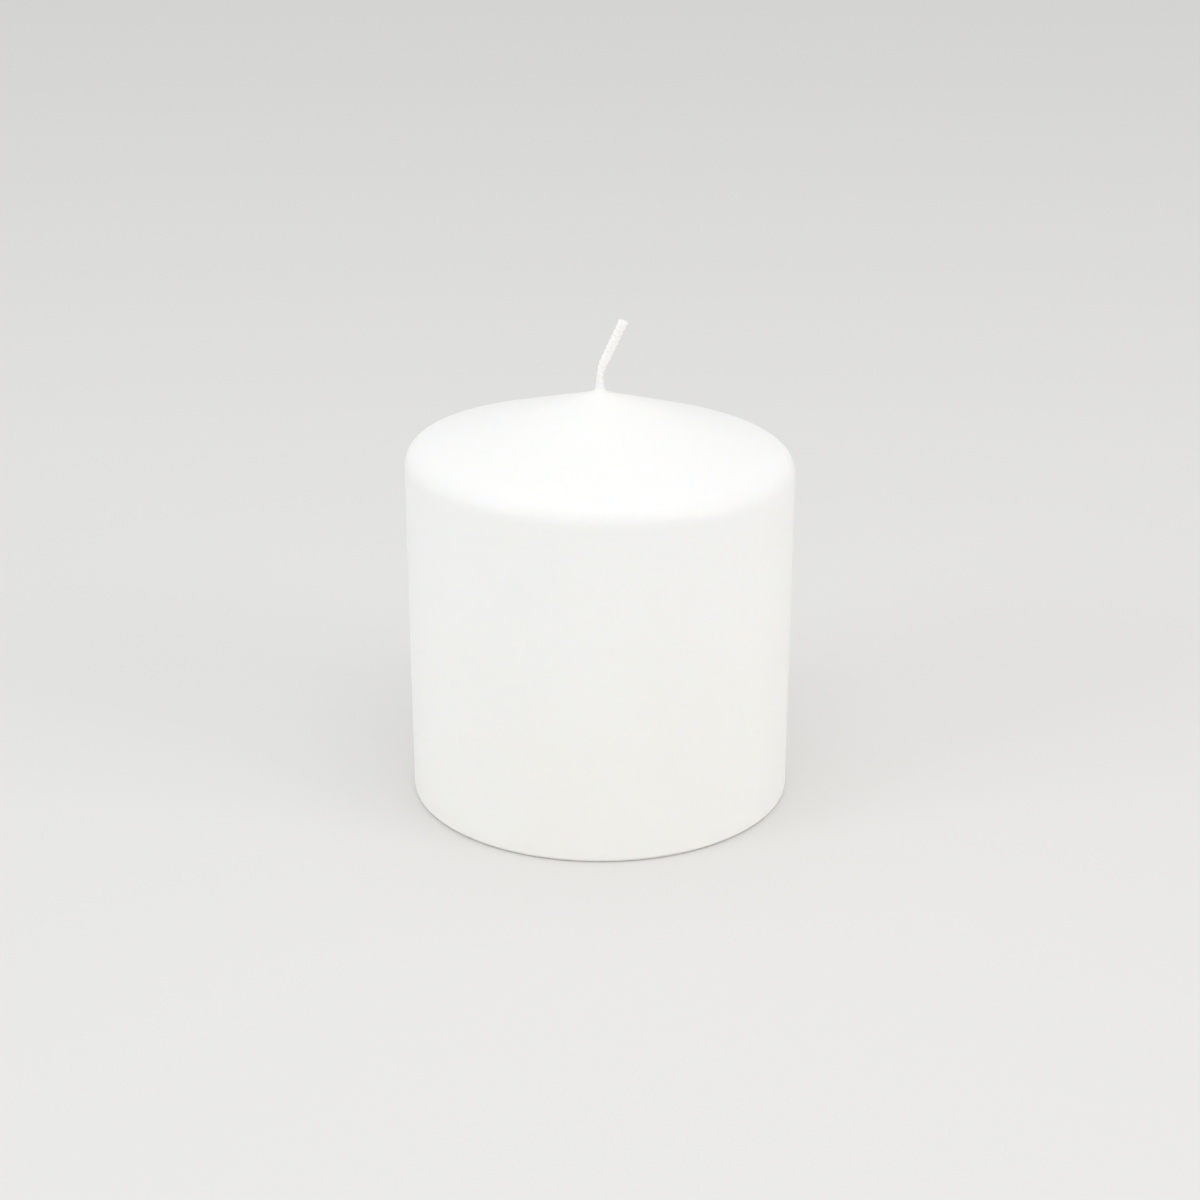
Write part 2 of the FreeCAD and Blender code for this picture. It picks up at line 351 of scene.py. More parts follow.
@dataclass(frozen=True)
class WaxFinish:
    """A candle wax: two close whites, a sheen and the texture of how it was made.

    The warm white shows in clouds and patches; the extra towards the foot is painted warm bounce
    light.
    """

    name: str
    pale: Colour
    warm: Colour
    grain: Grain
    roughness: float
    roughness_spread: float
    cloud_size: float = 30 * MM
    cloud_share: float = 0.7
    patch_size: float = 4 * MM
    patch_share: float = 0.3
    patch_seed: float = 7.0
    speckle_size: float = 1.2 * MM
    speckle_seed: float = 3.0
    # how high the painted warm bounce light from the table reaches, and how strong it is
    bounce_tint_below: float = 75 * MM
    bounce_tint_share: float = 0.3
    warm_from: float = 0.35
    warm_full: float = 0.95
    bead_size: float = 1.3 * MM
    bead_depth: float = 0.04 * MM
    bead_groove: float = 0.16
    scatter_depth: float = 0.18 * MM
    scatter_tint: Colour = (1.0, 0.9, 0.8)
    refraction: float = 1.44

    def material(self) -> bpy.types.Material:
        """Write the wax as a material.

        Returns:
            The material.
        """
        made, graph, shader = start_material(self.name)
        place = graph.node("ShaderNodeTexCoord", out="Object")
        cloud = graph.noise(place, self.cloud_size, 3.0)
        patch = graph.noise(place, self.patch_size, seed=self.patch_seed)
        up = graph.node("ShaderNodeSeparateXYZ", sockets={"Vector": place}, out="Z")
        # painted bounce light: the wax turns warmer towards the foot, standing in for warm light
        # bounced up from the table
        bounce_tint = 1.0 - graph.ease(up, 0.0, self.bounce_tint_below)
        warmth = self.cloud_share * cloud + self.patch_share * patch + self.bounce_tint_share * bounce_tint
        shown = graph.ease(warmth, self.warm_from, self.warm_full)
        speckle = graph.noise(place, self.speckle_size, seed=self.speckle_seed)
        polish = self.roughness + self.roughness_spread * (0.5 * speckle + 0.5 * patch - 0.5)
        plug(shader, "Base Color", graph.blend(shown, (*self.pale, 1.0), (*self.warm, 1.0)))
        plug(shader, "Roughness", polish)
        plug(shader, "Normal", self._texture(graph, place))
        shader.inputs["Subsurface Weight"].default_value = 1.0
        shader.inputs["Subsurface Radius"].default_value = self.scatter_tint
        shader.inputs["Subsurface Scale"].default_value = self.scatter_depth
        shader.inputs["IOR"].default_value = self.refraction
        return made

    def _texture(self, graph: Graph, place: Port) -> Port:
        """Return the normals of the wax's own grain.

        Args:
            graph: the material's tree.
            place: where the surface is.

        Returns:
            The normals.
        """
        normal = None
        if self.grain is Grain.PRESSED:
            sockets = {"Vector": place, "Scale": 1 / self.bead_size}
            cells = graph.node("ShaderNodeTexVoronoi", {"feature": "DISTANCE_TO_EDGE"}, sockets)
            normal = graph.bump(graph.ease(cells, 0.0, self.bead_groove), self.bead_depth)
        for layer in RELIEF[self.grain]:
            normal = layer.over(graph, place, normal)
        return normal


@dataclass(frozen=True)
class CottonFinish:
    """Cotton yarn that wax has soaked at the bottom and only primed at the top."""

    name: str
    dry: Colour
    waxed: Colour
    soaked_below: float
    dry_above: float
    # the colour and strength of the shade painted into the grooves between fibres
    groove_shade: Colour = (0.7, 0.66, 0.58)
    groove_shade_share: float = 0.14
    edge_drift: float = 2.0 * MM
    drift_size: float = 1.5 * MM
    fibre_size: float = 0.07 * MM
    fibre_stretch: float = 0.18
    fibre_depth: float = 0.03 * MM
    waxed_roughness: float = 0.42
    dry_roughness: float = 0.82
    fibre_roughness: float = 0.1
    sheen: float = 0.2
    sheen_roughness: float = 0.5

    def material(self) -> bpy.types.Material:
        """Write the cotton as a material.

        Returns:
            The material.
        """
        made, graph, shader = start_material(self.name)
        place = graph.node("ShaderNodeTexCoord", out="Object")
        height = graph.node("ShaderNodeSeparateXYZ", sockets={"Vector": place}, out="Z")
        drift = self.edge_drift * (graph.noise(place, self.drift_size) - 0.5)
        dryness = graph.ease(height + drift, self.soaked_below, self.dry_above)
        along = graph.stretched(place, (1.0, 1.0, self.fibre_stretch))
        fibre = graph.noise(along, self.fibre_size, 3.0)
        shade = graph.blend(dryness, (*self.waxed, 1.0), (*self.dry, 1.0))
        # painted shade: the colour darkens where the fibre relief is low, as shade in the grooves
        # between fibres
        shaded_colour = graph.blend(self.groove_shade_share * (1.0 - fibre), shade, (*self.groove_shade, 1.0))
        rougher = self.dry_roughness - self.waxed_roughness
        polish = self.waxed_roughness + rougher * dryness + self.fibre_roughness * fibre
        plug(shader, "Base Color", shaded_colour)
        plug(shader, "Roughness", polish)
        plug(shader, "Normal", graph.bump(fibre, self.fibre_depth))
        shader.inputs["Sheen Weight"].default_value = self.sheen
        shader.inputs["Sheen Roughness"].default_value = self.sheen_roughness
        return made


@dataclass(frozen=True)
class TinplateFinish:
    """Tinned steel sheet: rolling marks, a fine spangle and smears of wax towards the rim."""

    name: str
    bright: Colour
    dull: Colour
    smear: Colour
    clean_reach: float
    rim_reach: float
    roll_size: float = 0.09 * MM
    roll_stretch: float = 0.05
    roll_share: float = 0.65
    roll_depth: float = 0.004 * MM
    spangle_size: float = 0.5 * MM
    smear_size: float = 3.5 * MM
    smear_seed: float = 4.0
    smear_from: float = 0.55
    smear_full: float = 0.72
    smear_cover: float = 0.8
    rim_share: float = 0.2
    dent_depth: float = 0.03 * MM
    roughness: float = 0.22

    def material(self) -> bpy.types.Material:
        """Write the tinplate as a material.

        Returns:
            The material.
        """
        made, graph, shader = start_material(self.name)
        place = graph.node("ShaderNodeTexCoord", out="Object")
        across = graph.node("ShaderNodeSeparateXYZ", sockets={"Vector": place})
        deep = across.also("Y")
        reach = graph.math("SQRT", across * across + deep * deep)
        along = graph.stretched(place, (self.roll_stretch, 1.0, 1.0))
        rolled = graph.noise(along, self.roll_size, 3.0)
        sockets = {"Vector": place, "Scale": 1 / self.spangle_size}
        cells = graph.node("ShaderNodeTexVoronoi", {"feature": "F1"}, sockets, "Color")
        tone = graph.node("ShaderNodeSeparateXYZ", sockets={"Vector": cells}, out="X")
        cloud = graph.noise(place, self.smear_size, 4.0, self.smear_seed)
        rim = graph.ease(reach, self.clean_reach, self.rim_reach)
        film = graph.ease(cloud + self.rim_share * rim, self.smear_from, self.smear_full)
        dullness = (1.0 - self.roll_share) * tone + self.roll_share * rolled
        metal = graph.blend(dullness, (*self.bright, 1.0), (*self.dull, 1.0))
        cover = self.smear_cover * film
        plug(shader, "Base Color", graph.blend(cover, metal, (*self.smear, 1.0)))
        plug(shader, "Metallic", 1.0 - cover)
        plug(shader, "Roughness", self.roughness + 0.08 * tone + 0.16 * rolled + 0.2 * film)
        dents = graph.bump(cloud, self.dent_depth)
        plug(shader, "Normal", graph.bump(rolled, self.roll_depth, dents))
        return made


@dataclass(frozen=True)
class TableFinish:
    """A pale matt table top under the candle."""

    name: str
    tone: Colour
    roughness: float = 0.7
    roughness_spread: float = 0.1
    mottle_size: float = 40 * MM

    def material(self) -> bpy.types.Material:
        """Write the table top as a material.

        Returns:
            The material.
        """
        made, graph, shader = start_material(self.name)
        place = graph.node("ShaderNodeTexCoord", out="Object")
        mottle = graph.noise(place, self.mottle_size)
        plug(shader, "Roughness", self.roughness + self.roughness_spread * mottle)
        shader.inputs["Base Color"].default_value = (*self.tone, 1.0)
        return made


def start_material(name: str) -> tuple[bpy.types.Material, Graph, bpy.types.Node]:
    """Start a material.

    Args:
        name: the material's name.

    Returns:
        The material, its tree and its Principled shader.
    """
    made = bpy.data.materials.new(name)
    made.use_nodes = True
    shader = next(node for node in made.node_tree.nodes if node.type == "BSDF_PRINCIPLED")
    return made, Graph(made.node_tree), shader


def plug(shader: bpy.types.Node, name: str, port: Port) -> None:
    """Connect a port to one of the shader's inputs."""
    port.graph.tree.links.new(port.socket, shader.inputs[name])


# ---- turned wax ----


@dataclass(frozen=True)
class Corner:
    """A corner of a turned piece's outline."""

    out: float
    up: float
    rounding: float = 0.0
    step: float = 4 * MM


@dataclass
class Outline:
    """A closed outline of rounded corners, which a wax piece is turned from."""

    corners: list[Corner]
    arc_step: float = math.radians(9.0)

    def points(self) -> list[Vector]:
        """Return the outline's points in order.

        Returns:
            How far each point is out from the axis, and up.
        """
        arcs = [self._arc(index) for index in range(len(self.corners))]
        found: list[Vector] = []
        for corner, arc, following in zip(self.corners, arcs, arcs[1:] + arcs[:1]):
            run = following[0] - arc[-1]
            pieces = max(1, round(run.length / corner.step))
            found += arc
            found += [arc[-1] + run * (count / pieces) for count in range(1, pieces)]
        return found

    def _arc(self, index: int) -> list[Vector]:
        """Round one corner.

        Args:
            index: the corner's number.

        Returns:
            The points from the run before the corner to the run after it.
        """
        before, here, after = (
            self.corners[(index + shift) % len(self.corners)] for shift in (-1, 0, 1)
        )
        corner = Vector((here.out, here.up))
        if not here.rounding:
            return [corner]
        back = (Vector((before.out, before.up)) - corner).normalized()
        ahead = (Vector((after.out, after.up)) - corner).normalized()
        half = back.angle(ahead) / 2
        centre = corner + (back + ahead).normalized() * here.rounding / math.sin(half)
        start = corner + back * here.rounding / math.tan(half) - centre
        sweep = math.pi - 2 * half
        turn = math.copysign(sweep, back.x * ahead.y - back.y * ahead.x) * -1
        steps = max(2, round(sweep / self.arc_step))
        spokes = []
        for count in range(steps + 1):
            angle = turn * count / steps
            cosine, sine = math.cos(angle), math.sin(angle)
            spoke = (start.x * cosine - start.y * sine, start.x * sine + start.y * cosine)
            spokes.append(centre + Vector(spoke))
        return spokes

    def mesh(self, name: str, rail: float) -> bpy.types.Mesh:
        """Return the outline as a ring of edges, measured from a rail round the axis.

        Args:
            name: the mesh's name.
            rail: the rail's radius.

        Returns:
            A mesh of edges, ready to be turned.
        """
        outward = reversed(self.points())
        spots = [(point.x - rail, -point.y, 0.0) for point in outward]
        links = [(index, (index + 1) % len(spots)) for index in range(len(spots))]
        made = bpy.data.meshes.new(name)
        made.from_pydata(spots, links, [])
        return made


class WaxTurning(Recipe):
    """Turns an outline round the axis and gives it the small faults of real wax.

    The crown leans a little to one side, the surface wanders by a few hundredths of a
    millimetre away from the foot, the middle is squeezed to the wick's flat section, and the
    lip of the collar is uneven.
    """

    rail = 1 * MM
    lip_wave = 1.1 * MM
    lip_seed = 5.0

    def __init__(self) -> None:
        """Write the tree."""
        super().__init__("wax_turning")
        outline = self.node("GeometryNodeMeshToCurve", sockets={"Mesh": self.start})
        rail = self.circle(self.ask("Segments", "Int"), self.rail)
        turned = self.sweep(rail, outline, caps=False)
        self.close(self._squeeze(self._wander(turned)))

    def _wander(self, geometry: Port) -> Port:
        """Move the surface in and out a little, away from the foot and the wick.

        Args:
            geometry: the true surface.

        Returns:
            The uneven surface.
        """
        place = self.node("GeometryNodeInputPosition")
        split = self.node("ShaderNodeSeparateXYZ", sockets={"Vector": place})
        middle = self.ask("Calm Middle")
        calm = self.ease(split.also("Z"), 0.0, self.ask("Calm Foot"))
        away = self.ease(self._reach(split), middle, 2.0 * middle)
        pattern = self.noise(place, self.ask("Wander Size"), 1.0, self.ask("Seed")) - 0.5
        normal = self.node("GeometryNodeInputNormal")
        offset = self.scaled(normal, 2.0 * self.ask("Wander") * pattern * calm * away)
        sockets = {"Geometry": geometry, "Offset": offset}
        return self.node("GeometryNodeSetPosition", sockets=sockets)

    def _squeeze(self, geometry: Port) -> Port:
        """Lean the crown, flatten the middle to the wick and make the collar's lip uneven.

        Args:
            geometry: the round and level piece.

        Returns:
            The piece with its lean, its slot and its lip.
        """
        place = self.node("GeometryNodeInputPosition")
        split = self.node("ShaderNodeSeparateXYZ", sockets={"Vector": place})
        across, deep, up = split, split.also("Y"), split.also("Z")
        flat, near, far = (self.ask(f"Slot {word}") for word in ("Flatness", "Near", "Far"))
        narrow = flat + (1.0 - flat) * self.ease(self._reach(split), near, far)
        crown = self.ease(up, self.ask("Crown Start"), self.ask("Crown End"))
        lip = self.ease(up, self.ask("Lip Start"), self.ask("Lip End"))
        sway = self.noise(place, self.lip_wave, 1.0, self.lip_seed) - 0.5
        rise = self.ask("Lip Wander") * sway * lip - self.ask("Crown Lean") * across * crown
        spot = self.combine(across * narrow, deep, up + rise)
        sockets = {"Geometry": geometry, "Position": spot}
        return self.node("GeometryNodeSetPosition", sockets=sockets)

    def _reach(self, split: Port) -> Port:
        """Return how far a point is from the axis."""
        deep = split.also("Y")
        return self.math("SQRT", split * split + deep * deep)


@dataclass
class WaxBody:
    """The wax: a pressed core under an over-dipped skin, and the seal round the sustainer."""

    crown_angle: float = math.radians(17.5)
    shoulder_radius: float = 4 * MM
    foot_chamfer: float = 0.6 * MM
    collar_wall: float = 0.25 * MM
    collar_radius: float = 2.0 * MM
    lip_gap: float = 0.02 * MM
    wick_bite: float = 0.12 * MM
    wick_flatness: float = 0.72
    bore_radius: float = 1.3 * MM
    neck_radius: float = 1.93 * MM
    neck_top: float = 6.6 * MM
    seal_slope: float = 0.7 * MM
    seal_width: float = 2.5 * MM
    tab_bead: float = 0.4 * MM
    crown_lean: float = math.tan(math.radians(1.3))
    surface_step: float = 1.1 * MM
    segments: int = 288
    turning: WaxTurning = field(default_factory=WaxTurning)

    def __post_init__(self) -> None:
        """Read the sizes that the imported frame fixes, and work out the crown's lines."""
        self.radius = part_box("overdip_skin")[1].x
        self.collar_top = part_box("overdip_skin")[1].z
        self.core_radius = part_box("wax_core")[1].x
        self.wick_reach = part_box("wick")[1].y
        self.recess_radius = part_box("tab_seal")[1].x
        self.recess_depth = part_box("tab_seal")[1].z
        self.seal_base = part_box("tab_seal")[0].z
        self.tab_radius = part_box("wick_sustainer")[1].x
        self.tab_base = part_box("wick_sustainer")[0].z
        thickness = self.radius - self.core_radius
        self.slope = math.tan(self.crown_angle)
        self.core_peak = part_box("wax_core")[1].z + self.bore_radius * self.slope
        self.core_side = self._core_top(self.core_radius)
        self.core_round = self.shoulder_radius - thickness
        self.peak = self.core_peak + thickness / math.cos(self.crown_angle)

    def _core_top(self, reach: float) -> float:
        """Return the height of the core's crown at a distance from the axis."""
        return self.core_peak - reach * self.slope

    def _skin_top(self, reach: float) -> float:
        """Return the height of the skin's crown at a distance from the axis."""
        return self.peak - reach * self.slope

    def build(self) -> list[bpy.types.Object]:
        """Make the three wax pieces.

        Returns:
            The skin, the core and the seal.
        """
        return [self._skin(), self._core(), self._seal()]

    def _turn(self, name: str, node: str, slot: str, outline: Outline, finish: WaxFinish,
              **changes: float) -> bpy.types.Object:
        """Turn an outline into the piece that stands for a CAD node.

        Args:
            name: the piece's name.
            node: the CAD node that it replaces.
            slot: the record's material slot; not used.
            outline: what it is turned from.
            finish: its wax.
            **changes: inputs of the turning that differ from the usual ones.

        Returns:
            The piece.
        """
        usual = {
            "segments": self.segments,
            "finish": finish.material(),
            "calm_foot": 5 * MM,
            "calm_middle": 3 * MM,
            "wander": 0.05 * MM,
            "wander_size": 22 * MM,
            "seed": 11.0,
            "slot_flatness": 1.0,
            "slot_near": self.wick_reach,
            "slot_far": 3.2 * self.wick_reach,
            "crown_start": 0.6 * self.peak,
            "crown_end": 0.86 * self.peak,
            "crown_lean": self.crown_lean,
            "lip_start": self.peak,
            "lip_end": self.collar_top,
            "lip_wander": 0.0,
        }
        seed_shape = outline.mesh(name, self.turning.rail)
        piece = self.turning.make(name, seed_shape, **{**usual, **changes})
        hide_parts(node)
        return piece

    def _skin(self) -> bpy.types.Object:
        """Make the over-dipped skin with its collar round the wick.

        Returns:
            The skin.
        """
        collar = self.wick_reach + self.collar_wall
        hole = self.wick_reach - self.wick_bite
        lip = self.wick_reach + self.lip_gap
        step = self.surface_step
        outline = Outline([
            Corner(self.radius - self.foot_chamfer, 0.0, rounding=0.25 * MM, step=0.3 * MM),
            Corner(self.radius, self.foot_chamfer, rounding=0.5 * MM, step=step),
            Corner(self.radius, self._skin_top(self.radius), self.shoulder_radius, step),
            Corner(collar, self._skin_top(collar), self.collar_radius, step=0.2 * MM),
            Corner(lip, self.collar_top, rounding=0.05 * MM, step=0.1 * MM),
            Corner(hole, self.collar_top, step=0.4 * MM),
            Corner(hole, self._core_top(hole), step=2 * MM),
            Corner(self.core_radius, self.core_side, self.core_round, step=4 * MM),
            Corner(self.core_radius, 0.0, rounding=0.08 * MM, step=0.4 * MM),
        ])
        finish = WaxFinish(
            "overdip_wax", pale=(0.93, 0.926, 0.908), warm=(0.93, 0.908, 0.868),
            grain=Grain.DIPPED, roughness=0.4, roughness_spread=0.12,
        )
        return self._turn(
            "overdip_skin_turned", "overdip_skin", "skin_wax", outline, finish,
            slot_flatness=self.wick_flatness, lip_wander=0.9 * MM,
        )

    def _core(self) -> bpy.types.Object:
        """Make the pressed core, bored for the wick and recessed for the sustainer.

        Returns:
            The core.
        """
        outline = Outline([
            Corner(self.core_radius, 0.0, rounding=0.12 * MM, step=2 * MM),
            Corner(self.core_radius, self.core_side, self.core_round, step=2 * MM),
            Corner(self.bore_radius, self._core_top(self.bore_radius)),
            Corner(self.bore_radius, self.neck_top, step=1 * MM),
            Corner(self.neck_radius, self.neck_top, step=2 * MM),
            Corner(self.neck_radius, self.recess_depth, step=1 * MM),
            Corner(self.recess_radius, self.recess_depth, step=0.5 * MM),
            Corner(self.recess_radius, 0.0, rounding=0.22 * MM, step=1 * MM),
        ])
        finish = WaxFinish(
            "pressed_wax", pale=(0.91, 0.9, 0.87), warm=(0.89, 0.87, 0.82),
            grain=Grain.PRESSED, roughness=0.52, roughness_spread=0.18,
        )
        return self._turn("wax_core_turned", "wax_core", "core_wax", outline, finish)

    def _seal(self) -> bpy.types.Object:
        """Make the ring of poured wax that holds the sustainer in its recess.

        Returns:
            The seal.
        """
        inner = self.tab_radius - self.seal_width
        under = self.tab_base + self.tab_bead
        outline = Outline([
            Corner(inner + self.seal_slope, self.seal_base, rounding=0.35 * MM, step=0.4 * MM),
            Corner(self.recess_radius, self.seal_base, rounding=0.1 * MM, step=0.4 * MM),
            Corner(self.recess_radius, self.recess_depth),
            Corner(self.tab_radius, self.recess_depth),
            Corner(self.tab_radius, under, step=0.5 * MM),
            Corner(inner, under, rounding=0.05 * MM, step=0.2 * MM),
        ])
        finish = WaxFinish(
            "poured_wax", pale=(0.9, 0.88, 0.83), warm=(0.87, 0.84, 0.77),
            grain=Grain.POURED, roughness=0.3, roughness_spread=0.15,
        )
        return self._turn(
            "tab_seal_turned", "tab_seal", "seal_wax", outline, finish,
            segments=160, calm_foot=0.01 * MM, wander=0.16 * MM, wander_size=3.2 * MM,
        )


# ---- wick ----


class Plait(Recipe):
    """Lays a flat plait of yarns along a route in the XZ plane.

    Three strands pass over each other in turn. Each is a ring of yarns that winds about the
    strand's own line. The plait turns about its route over one stretch, and its yarns end
    unevenly and splay at the tip.
    """

    yarn_sides = 7
    film_sides = 20
    cut_seed = 3

    def __init__(self) -> None:
        """Write the tree."""
        super().__init__("plait")
        self.turn_range = [self.ask(name) for name in ("Turn Start", "Turn End", "Turn")]
        route = self.node("GeometryNodeMeshToCurve", sockets={"Mesh": self.start})
        sockets = {"Curve": route, "Length": self.ask("Step")}
        even = self.node("GeometryNodeResampleCurve", {"mode": "LENGTH"}, sockets)
        strands, yarns = self.ask("Strands", "Int"), self.ask("Yarns", "Int")
        sockets = {"Geometry": even, "Amount": strands * yarns}
        lines = self.node("GeometryNodeDuplicateElements", {"domain": "SPLINE"}, sockets)
        offset = self._offset(lines.also("Duplicate Index"), strands, yarns)
        sockets = {"Geometry": lines, "Offset": offset}
        laid = self.node("GeometryNodeSetPosition", sockets=sockets)
        trimmed = self._trim(laid, self.ask("Uneven Ends"), 0.0)
        yarn = self.sweep(trimmed, self.circle(self.yarn_sides, self.ask("Yarn Radius")))
        both = self.node("GeometryNodeJoinGeometry", sockets={"Geometry": yarn})
        self.tree.links.new(self._film(even).socket, both.socket.node.inputs[0])
        self.close(both)

    def _twist(self) -> Port:
        """Return how far the plait has turned about its route."""
        start, end, turn = self.turn_range
        return turn * self.ease(self.node("GeometryNodeSplineParameter", out="Length"), start, end)

    def _film(self, route: Port) -> Port:
        """Make the wax that soaks the plait.

        Args:
            route: the wick's own line.

        Returns:
            An oval bar inside the plait.
        """
        sockets = {"Curve": route, "Tilt": 0.0 - self._twist()}
        tilted = self.node("GeometryNodeSetCurveTilt", sockets=sockets)
        cut = self._trim(tilted, 0.0, self.ask("Film Cut"))
        size = self.combine(self.ask("Film Flat"), self.ask("Film Wide"), 1.0)
        sockets = {"Geometry": self.circle(self.film_sides), "Scale": size}
        return self.sweep(cut, self.node("GeometryNodeTransform", sockets=sockets))

    def _offset(self, index: Port, strands: Port, yarns: Port) -> Port:
        """Return how far a point of a yarn stands from the route.

        Args:
            index: the yarn's number.
            strands: how many strands there are.
            yarns: how many yarns a strand has.

        Returns:
            The offset.
        """
        whole = 2 * math.pi
        along = self.node("GeometryNodeSplineParameter", out="Length")
        total = self.node("GeometryNodeSplineLength")
        strand = self.math("FLOOR", (index + 0.5) / yarns)
        phase = whole * (along / self.ask("Pitch") + strand / strands)
        winding = whole * (along / self.ask("Lay") + index / yarns)
        fray = self.ease(along, total - self.ask("Fray Length"), total)
        ring = self.ask("Strand Radius") * (1.0 + self.ask("Fray") * fray)
        wide = self.ask("Wide Swing") * self.math("SINE", phase)
        flat = self.ask("Flat Swing") * self.math("SINE", 2.0 * phase)
        wide = wide + ring * self.math("COSINE", winding)
        flat = flat + ring * self.math("SINE", winding)
        turn = self._twist()
        cosine, sine = self.math("COSINE", turn), self.math("SINE", turn)
        side = (0.0, 1.0, 0.0)
        face = self.vector("CROSS_PRODUCT", side, self.node("GeometryNodeInputTangent"))
        across = self.combine(0.0, wide * cosine - flat * sine, 0.0)
        return self.vector("ADD", across, self.scaled(face, wide * sine + flat * cosine))

    def _trim(self, lines: Port, spread: Value, least: Value) -> Port:
        """Cut the end off each line.

        Args:
            lines: the lines to cut.
            spread: how much their cuts vary.
            least: the shortest cut.

        Returns:
            The shorter lines.
        """
        sockets = {"Min_001": 0.0, "Max_001": spread, "Seed": self.cut_seed}
        more = self.node("FunctionNodeRandomValue", {"data_type": "FLOAT"}, sockets, "Value_001")
        total = self.node("GeometryNodeSplineLength")
        sockets = {"Curve": lines, "Start_001": 0.0, "End_001": total - more - least}
        return self.node("GeometryNodeTrimCurve", {"mode": "LENGTH"}, sockets)


class Fuzz(Recipe):
    """Scatters short curved fibres over the bare part of the plait."""

    bend = (0.5, 0.1, 0.85)
    least_spin = (-0.9, -0.9, 0.0)
    most_spin = (0.9, 0.9, 6.3)
    least_scale = 0.4
    fibre_points = 4
    fibre_sides = 3

    def __init__(self) -> None:
        """Write the tree."""
        super().__init__("fuzz")
        place = self.node("GeometryNodeInputPosition")
        up = self.node("ShaderNodeSeparateXYZ", sockets={"Vector": place}, out="Z")
        bare = self.math("GREATER_THAN", up, self.ask("Above"))
        sockets = {
            "Mesh": self.start,
            "Selection": bare,
            "Density": self.ask("Density"),
            "Seed": self.ask("Seed", "Int"),
        }
        roots = self.node("GeometryNodeDistributePointsOnFaces", sockets=sockets)
        length = self.ask("Fibre Length")
        sockets = {
            "Resolution": self.fibre_points,
            "Start": (0.0, 0.0, 0.0),
            "Middle": self.combine(0.0, 0.0, 0.5 * length),
            "End": self.combine(*(share * length for share in self.bend)),
        }
        fibre = self.node("GeometryNodeCurveQuadraticBezier", sockets=sockets)
        spin = self._random("FLOAT_VECTOR", "Value", self.least_spin, self.most_spin, 1)
        sockets = {"Rotation": roots.also("Rotation"), "Rotate By": spin}
        rotation = self.node("FunctionNodeRotateRotation", {"rotation_space": "LOCAL"}, sockets)
        scale = self._random("FLOAT", "Value_001", self.least_scale, 1.0, 2)
        sockets = {"Points": roots, "Instance": fibre, "Rotation": rotation, "Scale": scale}
        grown = self.node("GeometryNodeInstanceOnPoints", sockets=sockets)
        real = self.node("GeometryNodeRealizeInstances", sockets={"Geometry": grown})
        self.close(self.sweep(real, self.circle(self.fibre_sides, self.ask("Fibre Radius"))))

    def _random(self, kind: str, out: str, low: Any, high: Any, seed: int) -> Port:
        """Draw a random value for each fibre.

        Args:
            kind: FLOAT or FLOAT_VECTOR.
            out: the output that holds it.
            low: its lowest value.
            high: its highest value.
            seed: which draw it is.

        Returns:
            The value.
        """
        ending = out.removeprefix("Value")
        sockets = {f"Min{ending}": low, f"Max{ending}": high, "Seed": seed}
        return self.node("FunctionNodeRandomValue", {"data_type": kind}, sockets, out)


